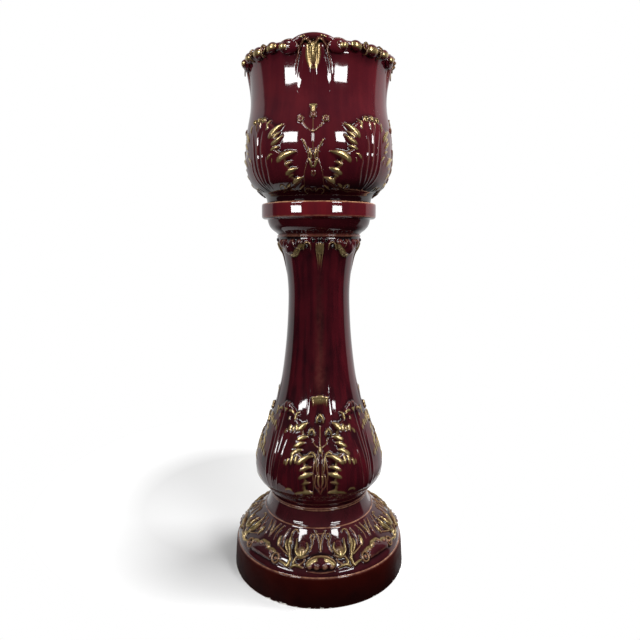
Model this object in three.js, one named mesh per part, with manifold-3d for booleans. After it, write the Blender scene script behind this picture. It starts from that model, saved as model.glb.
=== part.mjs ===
// Glazed earthenware jardiniere on its pedestal stand.
//
// Millimetres, +Z up, front towards -Y. The origin is the middle of the ring on which the stand rests.
// The stand is a hollow casting in three sections, luted end to end: base, column and top.
// The jardiniere is loose: its foot ring drops into a shallow well in the stand's top.
// The ornament has four equal quarters. Each panel has its middle at 0, 90, 180 and 270 degrees, and
// an acanthus leaf stands between two panels. The feature that takes the most skill is this relief,
// with the arched, scrolled and beaded rim: ridges and bosses laid over the turned walls.

import * as THREE from "three";
import { mergeVertices, toCreasedNormals } from "three/addons/utils/BufferGeometryUtils.js";
import Module from "manifold-3d";

const wasm = await Module();
wasm.setup();

// ---------------------------------------------------------------- driving dimensions

// Stand base: plinth, ornamented skirt, cavetto and the double ring under the column
const plinthRadius = 176;
const plinthTopRadius = 170.5;
const plinthHeight = 57;
const skirtRadius = 168.5;
const skirtTopRadius = 113;
const skirtHeight = 64;
const skirtFillet = 3;
const cavettoRadius = 98.5;
const cavettoHeight = 28;
const cavettoLedge = 2;
const ringRadius = 101.5;
const ringHeight = 8.5;
const ringRound = 2;
const baseWall = 10;
const throatRadius = 84;

// Stand column: a bulb that narrows to a slim shaft and opens again under the capital
const columnFootRadius = 97;
const bulbRadius = 128.6;
const bulbHeight = 62;
const shaftRadius = 60.7;
const shaftHeight = 402;
const neckRadius = 80;
const columnHeight = 520;
const columnWall = 9;

// Stand top: ovolo, plate and the well for the jardiniere's foot
const ovoloRadius = 99.5;
const ovoloHeight = 28.5;
const plateRadius = 110.4;
const plateHeight = 29;
const plateRound = 3;
const topWall = 10;
const wellDepth = 4;
const wellFloorRadius = 83.5;
const ventRadius = 15;

// Jardiniere: heights are measured from the underside of its foot
const footRadius = 97;
const footWidth = 8;
const footRecess = 5;
const footHeight = 7;
const bellyRadius = 138.8;
const bellyHeight = 95;
const waistRadius = 126.2;
const waistHeight = 203;
const lipRadius = 131.5;
const lipHeight = 247;
const bowlWall = 8;
const bowlFloor = 9;
const rimRollRadius = 4.5;
const archHeight = 22.7;

// Fits
const seatGap = 0.3;
const wellClearance = 3;
const jardiniereTurn = -5.2;

// Relief: how far it stands out, and how deep its root lies in the wall
const leafRelief = 5.5;
const edgeRelief = 1;
const stemRelief = 2;
const stemHalfWidth = 2.6;
const reliefRoot = 2.5;

// Ornament: half spans in degrees round the axis, bosses as [half width, half height, out]
const bulbLeafReach = 38;
const bulbSprigSpread = 9.5;
const bulbBerry = 4.2;
const bowlLeafReach = 36;
const bowlSprigSpread = 9;
const bowlBerry = 5.5;
const leafCurl = [10, 5, 7];
const panelShell = { halfAngle: 9.5, rise: 0.32, lobes: 3, lift: 6 };
const cornerShell = { halfAngle: 12.5, rise: 0.36, lobes: 4, lift: 7 };
const skirtVolute = [9, 9, 5];
const tulip = { halfWidth: 10, lift: 4.5 };
const stalk = { halfWidth: 5, lift: 4 };
const cornerLump = [24, 17, 7];
const cornerLumpDrop = 19;
const capitalBud = [5, 8, 5];
const capitalBudDrop = 22;
const capitalRib = { halfWidth: 4, lift: 3, drop: 26, length: 40 };
const capitalCurl = [7, 8, 6];
const capitalCurlDrop = 15;
const capitalCurlAngle = 21;
const pendantLength = 53;
const pendantHalfWidth = 7;
const rimBead = [11, 8, 8];
const rimBeadAngle = 31;
const cornerBead = [12, 8.5, 8.5];
const archHalfAngle = 11;
const scrollAngle = 18;
const scrollRadius = 8.5;
const scrollRelief = 5;

// ---------------------------------------------------------------- outlines

const mix = THREE.MathUtils.lerp;
const radians = THREE.MathUtils.degToRad;
const quarters = [0, 90, 180, 270];
const sides = [-1, 1];
const leafAxis = 45;
const wallFacets = 28;

// A smooth [radius, height] curve through a few points
function smooth(points, steps) {
  const curve = new THREE.SplineCurve(points.map(([radius, height]) => new THREE.Vector2(radius, height)));
  return curve.getPoints(steps).map((point) => [point.x, point.y]);
}

// The same curve moved inwards by a wall's thickness, read from its far end back
function inner(outline, wall) {
  const moved = outline.map(([radius, height], i) => {
    const [r0, z0] = outline[Math.max(i - 1, 0)];
    const [r1, z1] = outline[Math.min(i + 1, outline.length - 1)];
    const run = Math.hypot(r1 - r0, z1 - z0);
    return [radius - (wall * (z1 - z0)) / run, height + (wall * (r1 - r0)) / run];
  });
  return moved.reverse();
}

const skirtFoot = plinthHeight + skirtFillet;
const skirtTop = plinthHeight + skirtHeight;
const cavettoTop = skirtTop + cavettoHeight;
const baseHeight = cavettoTop + ringHeight;
const skirtOutline = smooth(
  [
    [skirtRadius, skirtFoot],
    [mix(skirtRadius, skirtTopRadius, 0.15), mix(skirtFoot, skirtTop, 0.26)],
    [mix(skirtRadius, skirtTopRadius, 0.5), mix(skirtFoot, skirtTop, 0.6)],
    [skirtTopRadius, skirtTop],
  ],
  6,
);
const cavettoOutline = smooth(
  [
    [skirtTopRadius - cavettoLedge, skirtTop + 1.7 * cavettoLedge],
    [mix(cavettoRadius, skirtTopRadius, 0.35), mix(skirtTop, cavettoTop, 0.55)],
    [cavettoRadius, cavettoTop],
  ],
  4,
);

// The column's curve from its foot up, which its hollow follows inside
const columnPoints = [
  [columnFootRadius, 0],
  [mix(columnFootRadius, bulbRadius, 0.62), bulbHeight * 0.35],
  [bulbRadius, bulbHeight],
  [mix(bulbRadius, shaftRadius, 0.2), mix(bulbHeight, shaftHeight, 0.165)],
  [mix(bulbRadius, shaftRadius, 0.46), mix(bulbHeight, shaftHeight, 0.29)],
  [mix(bulbRadius, shaftRadius, 0.72), mix(bulbHeight, shaftHeight, 0.45)],
  [mix(bulbRadius, shaftRadius, 0.9), mix(bulbHeight, shaftHeight, 0.68)],
  [shaftRadius, shaftHeight],
  [mix(shaftRadius, neckRadius, 0.4), mix(shaftHeight, columnHeight, 0.65)],
  [neckRadius, mix(shaftHeight, columnHeight, 0.9)],
  [neckRadius, columnHeight],
];
const columnOutline = smooth(columnPoints, 15);

const ovoloOutline = smooth(
  [
    [neckRadius, 0],
    [mix(neckRadius, ovoloRadius, 0.45), ovoloHeight * 0.25],
    [mix(neckRadius, ovoloRadius, 0.78), ovoloHeight * 0.5],
    [ovoloRadius, ovoloHeight],
  ],
  4,
);

const bowlOutline = smooth(
  [
    [footRadius + 1.5, footHeight],
    [mix(footRadius, bellyRadius, 0.36), bellyHeight * 0.24],
    [mix(footRadius, bellyRadius, 0.83), bellyHeight * 0.52],
    [bellyRadius, bellyHeight],
    [mix(bellyRadius, waistRadius, 0.4), mix(bellyHeight, waistHeight, 0.45)],
    [waistRadius, waistHeight],
    [lipRadius, lipHeight],
  ],
  12,
);

// ---------------------------------------------------------------- solids

// A closed solid from a geometry, its shared vertices merged and its slivers left out
function solid(geometry) {
  geometry.deleteAttribute("normal");
  geometry.deleteAttribute("uv");
  const merged = mergeVertices(geometry, 1e-4);
  const corners = merged.index.array;
  const faces = [];
  for (let i = 0; i < corners.length; i += 3) {
    const [a, b, c] = [corners[i], corners[i + 1], corners[i + 2]];
    if (a !== b && b !== c && c !== a) {
      faces.push(a, b, c);
    }
  }
  return manifold(merged.attributes.position.array, faces);
}

function manifold(vertices, faces) {
  const mesh = { numProp: 3, vertProperties: new Float32Array(vertices), triVerts: new Uint32Array(faces) };
  return new wasm.Manifold(new wasm.Mesh(mesh));
}

// A closed outline turned about Z. It starts and ends on the axis, or is closed on itself.
function turned(outline, facets) {
  const points = outline.map(([radius, height]) => new THREE.Vector2(radius, height));
  if (outline[0][0] > 0) {
    points.push(points[0]);
  }
  return solid(new THREE.LatheGeometry(points, facets).rotateX(Math.PI / 2));
}

// The place and the outward direction of a point on a turned wall, at an angle from the front
function onWall(wall, degrees, height) {
  let i = 1;
  while (i < wall.length - 1 && wall[i][1] < height) {
    i += 1;
  }
  const [r0, z0] = wall[i - 1];
  const [r1, z1] = wall[i];
  const radius = mix(r0, r1, (height - z0) / (z1 - z0));
  const run = Math.hypot(r1 - r0, z1 - z0);
  const radial = new THREE.Vector3(Math.sin(radians(degrees)), -Math.cos(radians(degrees)), 0);
  const point = radial.clone().multiplyScalar(radius).setZ(height);
  const normal = radial.multiplyScalar((z1 - z0) / run).setZ((r0 - r1) / run);
  return { point, normal };
}

// A ridge, roof-shaped in section, that follows [degrees, height] points over a wall.
// Its half width and its relief are functions of the way along it, from 0 to 1.
function ridge(wall, path, steps, halfWidth, relief) {
  const route = new THREE.SplineCurve(path.map(([degrees, height]) => new THREE.Vector2(degrees, height)));
  const stations = route.getPoints(steps).map((place) => onWall(wall, place.x, place.y));
  const vertices = [];
  const faces = [];
  stations.forEach(({ point, normal }, i) => {
    const before = stations[Math.max(i - 1, 0)].point;
    const after = stations[Math.min(i + 1, steps)].point;
    const along = after.clone().sub(before).normalize();
    const across = new THREE.Vector3().crossVectors(along, normal).normalize();
    const width = halfWidth(i / steps);
    const root = point.clone().addScaledVector(normal, -reliefRoot);
    const left = root.clone().addScaledVector(across, -width);
    const right = root.clone().addScaledVector(across, width);
    const crest = point.clone().addScaledVector(normal, relief(i / steps));
    vertices.push(...left.toArray(), ...crest.toArray(), ...right.toArray());
    for (let k = 0; i > 0 && k < 3; k += 1) {
      const a = 3 * i - 3 + k;
      const b = 3 * i - 3 + ((k + 1) % 3);
      faces.push(a, b, b + 3, a, b + 3, a + 3);
    }
  });
  faces.push(0, 2, 1, 3 * steps, 3 * steps + 1, 3 * steps + 2);
  return manifold(vertices, faces);
}

// A carved sheet on a wall. Its points are { degrees, height, lift } and its faces turn anticlockwise seen
// from outside; the sheet's edge goes down into the wall.
function slab(wall, points, faces) {
  const count = points.length;
  const places = points.map(({ degrees, height, lift }) => ({ ...onWall(wall, degrees, height), lift }));
  const upper = places.map(({ point, normal, lift }) => point.clone().addScaledVector(normal, lift));
  const lower = places.map(({ point, normal }) => point.clone().addScaledVector(normal, -reliefRoot));
  const vertices = [...upper, ...lower].flatMap((vertex) => vertex.toArray());
  const edges = new Set(faces.flatMap(([a, b, c]) => [`${a} ${b}`, `${b} ${c}`, `${c} ${a}`]));
  const skin = faces.flatMap(([a, b, c]) => [a, b, c, c + count, b + count, a + count]);
  const border = [...edges].filter((edge) => !edges.has(edge.split(" ").reverse().join(" ")));
  const rim = border.flatMap((edge) => {
    const [a, b] = edge.split(" ").map(Number);
    return [a, a + count, b + count, a, b + count, b];
  });
  return manifold(vertices, [...skin, ...rim]);
}

// A rounded boss on a wall: half its width, half its height and how far it stands out
function boss(wall, degrees, height, [halfWidth, halfHeight, out]) {
  const { point, normal } = onWall(wall, degrees, height);
  const across = new THREE.Vector3(Math.cos(radians(degrees)), Math.sin(radians(degrees)), 0);
  const up = new THREE.Vector3().crossVectors(normal, across);
  const frame = new THREE.Matrix4().makeBasis(across, up, normal).setPosition(point);
  const ball = new THREE.OctahedronGeometry(1, 1).scale(halfWidth, halfHeight, out);
  return solid(ball.applyMatrix4(frame));
}

function joined(body, additions) {
  return additions.reduce((whole, addition) => whole.add(addition), body);
}

// ---------------------------------------------------------------- acanthus leaf

// One side of the leaf, from its foot up. Each lobe has a fork on the midrib, an elbow and a tip on its
// crest, and the notch above it: [across, up] in parts of the leaf's reach and length.
const leafFoot = [0.34, -0.02];
const leafCrown = 0.97;
const leafLobes = [
  { fork: 0.02, elbow: [0.66, 0.1], tip: [0.96, 0.12], notch: [0.62, 0.2] },
  { fork: 0.12, elbow: [0.65, 0.27], tip: [0.9, 0.33], notch: [0.58, 0.37] },
  { fork: 0.28, elbow: [0.6, 0.49], tip: [0.95, 0.54], notch: [0.42, 0.59] },
  { fork: 0.46, elbow: [0.44, 0.665], tip: [0.68, 0.71], notch: [0.38, 0.755] },
  { fork: 0.64, elbow: [0.4, 0.84], tip: [0.68, 0.9], notch: [0.24, 0.95] },
];

function acanthus(wall, axis, foot, length, reach) {
  const points = [];
  const faces = [];
  const add = (side, [across, up], lift) => {
    points.push({ degrees: axis + side * across * reach, height: foot + up * length, lift });
    return points.length - 1;
  };
  const midribRelief = leafRelief * 1.3;
  const midrib = [...leafLobes.map(({ fork }) => fork), leafCrown].map((up) => add(1, [0, up], midribRelief));
  for (const side of sides) {
    let before = add(side, leafFoot, edgeRelief);
    leafLobes.forEach(({ elbow, tip, notch }, i) => {
      const crest = add(side, elbow, leafRelief * 1.3);
      const point = add(side, tip, leafRelief * 0.8);
      const dip = add(side, notch, edgeRelief);
      const lobe = [
        [midrib[i], before, crest],
        [crest, before, point],
        [crest, point, dip],
        [midrib[i], crest, dip],
        [midrib[i], dip, midrib[i + 1]],
      ];
      faces.push(...lobe.map((face) => (side > 0 ? face : [...face].reverse())));
      before = dip;
    });
  }
  return [slab(wall, points, faces), boss(wall, axis, foot + length, leafCurl)];
}

// A scallop shell on the skirt: lobes that fan out from a hinge at its lower middle, with a dip between
// two lobes. Its rise is a part of the skirt's height.
function shell(wall, middle, hinge, { halfAngle, rise, lobes, lift }) {
  const points = [{ degrees: middle, height: hinge, lift }];
  const faces = [];
  const steps = 2 * lobes;
  for (let i = 0; i <= steps; i += 1) {
    const turn = Math.PI * (i / steps);
    const crest = i % 2 === 1;
    const size = crest ? 1 : 0.86;
    const droop = i % steps === 0 ? 0.3 : 0;
    points.push({
      degrees: middle + size * halfAngle * Math.cos(turn),
      height: hinge + rise * skirtHeight * (size * Math.sin(turn) - droop),
      lift: crest ? lift * 0.8 : edgeRelief,
    });
    if (i > 0) {
      faces.push([0, i, i + 1]);
    }
  }
  return slab(wall, points, faces);
}

// A sprig of three berries on stems that join below them, over a lyre
function berrySprig(wall, middle, foot, length, spread, berry) {
  const at = (across, up) => [middle + across * spread, foot + up * length];
  const stemWidth = () => stemHalfWidth;
  const relief = () => stemRelief;
  const stem = ridge(wall, [at(0, 0.05), at(0, 0.85)], 1, stemWidth, relief);
  const fork = ridge(wall, [at(-0.95, 0.82), at(0, 0.66), at(0.95, 0.82)], 2, stemWidth, relief);
  const lyre = sides.map((side) =>
    ridge(wall, [at(side * 0.85, 0.54), at(side * 0.34, 0.38), at(side * 0.8, 0.06)], 2, stemWidth, relief),
  );
  const topBerry = boss(wall, ...at(0, 0.93), [berry, berry * 1.3, berry]);
  const sideBerries = sides.map((side) => boss(wall, ...at(side, 0.87), [berry, berry, berry]));
  return [stem, fork, ...lyre, topBerry, ...sideBerries];
}

// ---------------------------------------------------------------- stand base

function makeBase() {
  const outerSide = [
    [plinthRadius, 0],
    [plinthTopRadius, plinthHeight],
    ...skirtOutline,
    ...cavettoOutline,
    [ringRadius, cavettoTop + ringRound],
    [ringRadius, baseHeight - ringRound],
    [columnFootRadius, baseHeight],
  ];
  const innerSide = [
    [throatRadius, baseHeight],
    [cavettoRadius - baseWall, cavettoTop - baseWall],
    [skirtTopRadius - baseWall, skirtTop - baseWall],
    [mix(skirtRadius, skirtTopRadius, 0.5) - baseWall, mix(skirtFoot, skirtTop, 0.6) - baseWall],
    [plinthTopRadius - baseWall, plinthHeight - baseWall],
    [plinthRadius - baseWall, 0],
  ];
  const body = turned([...outerSide, ...innerSide], wallFacets);
  return joined(body, quarters.flatMap((middle) => skirtRelief(middle)));
}

// One quarter of the skirt: a shell on the panel, a tulip spray and a hooked stalk on each side of it,
// a small volute, and a larger shell on the corner
function skirtRelief(middle) {
  const at = (degrees, part) => [middle + degrees, mix(skirtFoot, skirtTop, part)];
  const even = (width) => () => width;
  const shells = [
    shell(skirtOutline, ...at(0, 0.14), panelShell),
    shell(skirtOutline, ...at(leafAxis, 0.16), cornerShell),
  ];
  const pairs = sides.flatMap((side) => [
    ridge(skirtOutline, [at(side * 7, 0.9), at(side * 14, 0.42)], 1, even(tulip.halfWidth), even(tulip.lift)),
    ridge(
      skirtOutline,
      [at(side * 16.5, 0.82), at(side * 22, 0.93), at(side * 22, 0.25)],
      2,
      even(stalk.halfWidth),
      even(stalk.lift),
    ),
    boss(skirtOutline, ...at(side * 31.5, 0.28), skirtVolute),
  ]);
  return [...shells, ...pairs];
}

// ---------------------------------------------------------------- stand column

function makeColumn() {
  const hollow = inner(smooth(columnPoints, 10), columnWall);
  hollow[0] = [neckRadius - columnWall, columnHeight];
  hollow[hollow.length - 1] = [throatRadius, 0];
  const body = turned([...columnOutline, ...hollow], wallFacets);
  const foot = bulbHeight * 0.42;
  const length = bulbHeight * 2.62;
  const relief = quarters.flatMap((middle) => [
    ...acanthus(columnOutline, middle + leafAxis, foot, length, bulbLeafReach),
    ...berrySprig(columnOutline, middle, foot, length * 0.97, bulbSprigSpread, bulbBerry),
    ...capitalRelief(middle),
  ]);
  return joined(body, relief);
}

// Rounded scroll ends under the neck: a large one on each corner, small curls and a bud between them
function capitalRelief(middle) {
  const at = (degrees, drop) => [middle + degrees, columnHeight - drop];
  const corner = boss(columnOutline, ...at(leafAxis, cornerLumpDrop), cornerLump);
  const bud = boss(columnOutline, ...at(0, capitalBudDrop), capitalBud);
  const { halfWidth, lift, drop, length } = capitalRib;
  const ribPath = [at(0, drop), at(0, drop + length)];
  const rib = ridge(columnOutline, ribPath, 1, () => halfWidth, (t) => mix(lift, edgeRelief, t));
  const curlAt = (side) => at(side * capitalCurlAngle, capitalCurlDrop);
  const curls = sides.map((side) => boss(columnOutline, ...curlAt(side), capitalCurl));
  return [corner, bud, rib, ...curls];
}

// ---------------------------------------------------------------- stand top

const topHeight = ovoloHeight + plateHeight;
const wellRadius = footRadius + wellClearance;

function makeTop() {
  const outline = [
    ...ovoloOutline,
    [plateRadius - plateRound / 2, ovoloHeight + plateRound / 3],
    [plateRadius, ovoloHeight + plateRound],
    [plateRadius, topHeight - plateRound],
    [plateRadius - plateRound / 2, topHeight],
    [wellRadius, topHeight],
    [wellRadius, topHeight - wellDepth],
    [ventRadius, topHeight - wellDepth],
    [ventRadius, topHeight - wellDepth - topWall],
    [wellFloorRadius, topHeight - wellDepth - topWall],
    [ovoloRadius - topWall, ovoloHeight],
    [neckRadius - columnWall, 0],
  ];
  return turned(outline, wallFacets);
}

// ---------------------------------------------------------------- jardiniere

const rimHeight = lipHeight + 2 * rimRollRadius;
const beadHeight = lipHeight + rimRollRadius;

function makeJardiniere() {
  const hollow = inner(bowlOutline.filter((_, i) => i % 2 === 0), bowlWall);
  hollow.pop();
  const underside = [
    [0, footRecess],
    [footRadius - footWidth, footRecess],
    [footRadius - footWidth, 0],
    [footRadius, 0],
  ];
  const rim = [
    [lipRadius + rimRollRadius, lipHeight + rimRollRadius],
    [lipRadius, rimHeight],
    [lipRadius - bowlWall, rimHeight],
  ];
  const floorTop = footRecess + bowlFloor;
  const floorEdge = [footRadius - footWidth, floorTop];
  const body = turned([...underside, ...bowlOutline, ...rim, ...hollow, floorEdge, [0, floorTop]], wallFacets);
  const foot = bellyHeight * 0.2;
  const length = bellyHeight * 1.28;
  const sprigFoot = bellyHeight * 0.38;
  const relief = quarters.flatMap((middle) => [
    ...acanthus(bowlOutline, middle + leafAxis, foot, length, bowlLeafReach),
    ...berrySprig(bowlOutline, middle, sprigFoot, length, bowlSprigSpread, bowlBerry),
    ...pendant(middle),
    ...rimOrnament(middle),
  ]);
  return joined(body, relief);
}

// Two arched lobes that hang from the rim
function pendant(middle) {
  const at = (degrees, drop) => [middle + degrees, lipHeight - drop];
  return sides.map((side) =>
    ridge(
      bowlOutline,
      [at(side * 3, 3), at(side * 8.5, 12), at(side * 7, 3 + pendantLength)],
      2,
      (t) => pendantHalfWidth * mix(1, 0.3, t),
      (t) => mix(leafRelief, edgeRelief, t),
    ),
  );
}

// One quarter of the rim: an arch over the panel, a scroll at each side of it that rolls into the
// beads, and the largest bead on the corner
function rimOrnament(middle) {
  const wallTop = [...bowlOutline, [lipRadius + rimRollRadius, rimHeight + archHeight]];
  const beads = sides.flatMap((side) => [
    boss(wallTop, middle + side * rimBeadAngle, beadHeight, rimBead),
    scroll(wallTop, middle, side),
  ]);
  return [rimArch(middle), boss(wallTop, middle + leafAxis, beadHeight, cornerBead), ...beads];
}

// The arch is a lens-shaped leaf of the wall that rises over the roll of the rim
function rimArch(middle) {
  const steps = 5;
  const arch = new THREE.Shape();
  const halfSpan = lipRadius * Math.sin(radians(archHalfAngle));
  arch.moveTo(-halfSpan, 0);
  arch.lineTo(halfSpan, 0);
  for (let i = 0; i <= steps; i += 1) {
    const t = (i / steps) * Math.PI;
    arch.lineTo(halfSpan * Math.cos(t), rimRollRadius + (archHeight - rimRollRadius) * Math.sin(t));
  }
  const plate = new THREE.ExtrudeGeometry(arch, { depth: bowlWall, bevelEnabled: false, steps: 1 });
  plate.rotateX(Math.PI / 2).translate(0, bowlWall - lipRadius - rimRollRadius, lipHeight - 1);
  return solid(plate.rotateZ(radians(middle)));
}

// A C-scroll whose tail runs down beside the pendant
function scroll(wall, middle, side) {
  const eye = [scrollAngle, beadHeight + 1];
  const path = [];
  const steps = 4;
  for (let i = 0; i <= steps; i += 1) {
    const angle = Math.PI * mix(1.1, -0.8, i / steps);
    const radius = mix(scrollRadius, scrollRadius * 0.3, i / steps);
    const acrossDegrees = THREE.MathUtils.radToDeg((radius * Math.cos(angle)) / lipRadius);
    path.push([middle + side * (eye[0] + acrossDegrees), eye[1] + radius * Math.sin(angle)]);
  }
  return ridge(wall, path, steps, (t) => scrollRelief * mix(0.9, 0.7, t), () => scrollRelief);
}

// ---------------------------------------------------------------- assembly

function piece(name, shape, colour, roughness) {
  const { vertProperties, triVerts } = shape.getMesh();
  const geometry = new THREE.BufferGeometry();
  geometry.setAttribute("position", new THREE.BufferAttribute(vertProperties, 3));
  geometry.setIndex(new THREE.BufferAttribute(triVerts, 1));
  const material = new THREE.MeshStandardMaterial({ color: colour, roughness, metalness: 0 });
  const mesh = new THREE.Mesh(toCreasedNormals(geometry, radians(32)), material);
  mesh.name = name;
  return mesh;
}

const base = piece("stand_base", makeBase(), 0x4a0c14, 0.12);
const column = piece("stand_column", makeColumn(), 0x45101a, 0.08);
column.position.z = baseHeight;
const top = piece("stand_top", makeTop(), 0x6b101c, 0.08);
top.position.z = baseHeight + columnHeight;

const stand = new THREE.Group();
stand.add(base, column, top);

const jardiniere = new THREE.Group();
jardiniere.add(piece("jardiniere", makeJardiniere(), 0x55101c, 0.07));
jardiniere.position.z = baseHeight + columnHeight + topHeight - wellDepth + seatGap;
jardiniere.rotation.z = radians(jardiniereTurn);

const jardiniereOnStand = new THREE.Group();
jardiniereOnStand.add(stand, jardiniere);

export default jardiniereOnStand;
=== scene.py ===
"""Looks of the glazed jardiniere and its stand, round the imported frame.

Outlines are half sections, [radius, height] in millimetres. Ornament is drawn on one eighth of the
object, from the middle of a panel (0 degrees) to the axis of an acanthus leaf (45 degrees), as strokes
of [degrees, height] points, and is then mirrored and repeated all round.
"""

import math

import bpy
import numpy as np
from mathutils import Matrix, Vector


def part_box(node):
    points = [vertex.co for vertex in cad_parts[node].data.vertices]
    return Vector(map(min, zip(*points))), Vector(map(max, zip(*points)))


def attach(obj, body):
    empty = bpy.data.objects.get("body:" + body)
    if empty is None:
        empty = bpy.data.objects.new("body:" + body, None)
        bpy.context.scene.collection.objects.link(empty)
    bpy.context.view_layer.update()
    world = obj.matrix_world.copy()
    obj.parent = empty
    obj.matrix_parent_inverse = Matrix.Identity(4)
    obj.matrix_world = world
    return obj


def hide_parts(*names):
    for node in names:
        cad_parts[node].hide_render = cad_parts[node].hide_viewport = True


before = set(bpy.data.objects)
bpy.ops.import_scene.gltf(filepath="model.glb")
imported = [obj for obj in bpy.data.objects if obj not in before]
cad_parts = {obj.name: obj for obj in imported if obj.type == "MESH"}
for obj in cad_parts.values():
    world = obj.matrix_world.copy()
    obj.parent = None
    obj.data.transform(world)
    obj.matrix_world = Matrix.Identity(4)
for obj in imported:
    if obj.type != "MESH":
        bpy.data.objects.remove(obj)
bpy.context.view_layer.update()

MM = 0.001
FOLD = 45.0               # from a panel's middle to a leaf's axis, degrees
STEPS = 92                # columns of the mesh over that eighth
WALK = 0.2                # step at which an outline is walked, mm
FINE = 1.15               # row spacing over ornament, mm
COARSE = 5.0              # row spacing over plain walls, mm
CLOSE = 0.7               # least row spacing, at a sharp bend, mm
BEND = 0.12               # how far a wall may bend from row to row, radians
POT_TURN = -5.2           # the loose jardiniere stands a little turned on its stand, degrees
CAMERA_TURN = 1.2         # the stand's front panel is turned a little from the camera, degrees

PLACES = {                # the body that each node rides on, and its material slot
    "jardiniere": ("jardiniere", "pot_glaze"),
    "stand_top": ("stand", "plate_glaze"),
    "stand_column": ("stand", "stand_glaze"),
    "stand_base": ("stand", "plinth_glaze"),
}

base_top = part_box("stand_base")[1].z / MM
top_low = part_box("stand_top")[0].z / MM
plate_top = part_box("stand_top")[1].z / MM
pot_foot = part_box("jardiniere")[0].z / MM


# ---------------------------------------------------------------- outlines

def smooth(points, step=0.25):
    """A smooth curve through a few points, as points about a step apart."""
    p = np.array(points, float)
    q = np.vstack([2 * p[0] - p[1], p, 2 * p[-1] - p[-2]])
    run = []
    for a, b, c, d in zip(q, q[1:], q[2:], q[3:]):
        count = max(2, int(np.hypot(*(c - b)[:2]) / step))
        t = np.linspace(0, 1, count, endpoint=False)[:, None]
        run.append(0.5 * (2 * b + (c - a) * t + (2 * a - 5 * b + 4 * c - d) * t**2
                          + (3 * b - a - 3 * c + d) * t**3))
    return np.vstack([*run, p[-1:]])


def spaced(points, count, step):
    """A few points spread evenly over a smooth curve."""
    route = smooth(points, step)
    return route[np.linspace(0, len(route) - 1, count).astype(int)]


def lengths(line):
    """How far along a line each of its points lies."""
    return np.r_[0, np.cumsum(np.hypot(*np.diff(line, axis=0).T))]


def bell(reach, pitch, size):
    """The weights of an average over neighbours a pitch apart."""
    weights = np.exp(-0.5 * (np.arange(-reach, reach + 1) * pitch / size) ** 2)
    return weights / weights.sum()


def outline(*runs, soften=1.0):
    """Smooth runs, each from the end of the last one, with the corners between them glazed over."""
    curves, corner = [], []
    for run in runs:
        curves.append(smooth(corner + run))
        corner = run[-1:]
    line = np.vstack(curves)
    line = line[np.r_[True, np.hypot(*np.diff(line, axis=0).T) > 1e-6]]
    along = lengths(line)
    even = np.arange(0, along[-1], WALK)
    line = np.column_stack([np.interp(even, along, line[:, i]) for i in (0, 1)])
    reach = int(4 * soften / WALK)
    for i in (0, 1):
        column = np.pad(line[:, i], reach, mode="reflect", reflect_type="odd")
        line[:, i] = np.convolve(column, bell(reach, WALK, soften), mode="valid")
    return line


class Wall:
    """Rows along a half section: close together where it bends or has ornament, further apart elsewhere."""

    def __init__(self, line, ornament):
        along = lengths(line)
        fine = np.zeros(len(line), bool)
        for start, end in ornament:
            fine |= (along >= start) & (along <= end)
        heading = np.unwrap(np.arctan2(*np.gradient(line, axis=0).T[::-1]))
        bend = np.convolve(np.abs(np.gradient(heading, along)), np.ones(15) / 15, mode="same")
        pitch = np.clip(BEND / np.maximum(bend, 1e-6), CLOSE, COARSE)
        pitch = np.where(fine, np.minimum(pitch, FINE), pitch)
        pitch = np.convolve(np.pad(pitch, 12, mode="edge"), np.ones(25) / 25, mode="valid")
        rows = np.r_[0, np.cumsum(np.diff(along) / pitch[1:])]
        self.along = np.interp(np.linspace(0, rows[-1], int(rows[-1]) + 1), rows, along)
        self.radius = np.interp(self.along, along, line[:, 0])
        self.height = np.interp(self.along, along, line[:, 1])
        dr = np.gradient(self.radius, self.along)
        dz = np.gradient(self.height, self.along)
        self.out = np.column_stack([dz, -dr]) / np.hypot(dr, dz)[:, None]
        self.bend = np.gradient(np.unwrap(np.arctan2(dz, dr)), self.along)


# ---------------------------------------------------------------- relief

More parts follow.
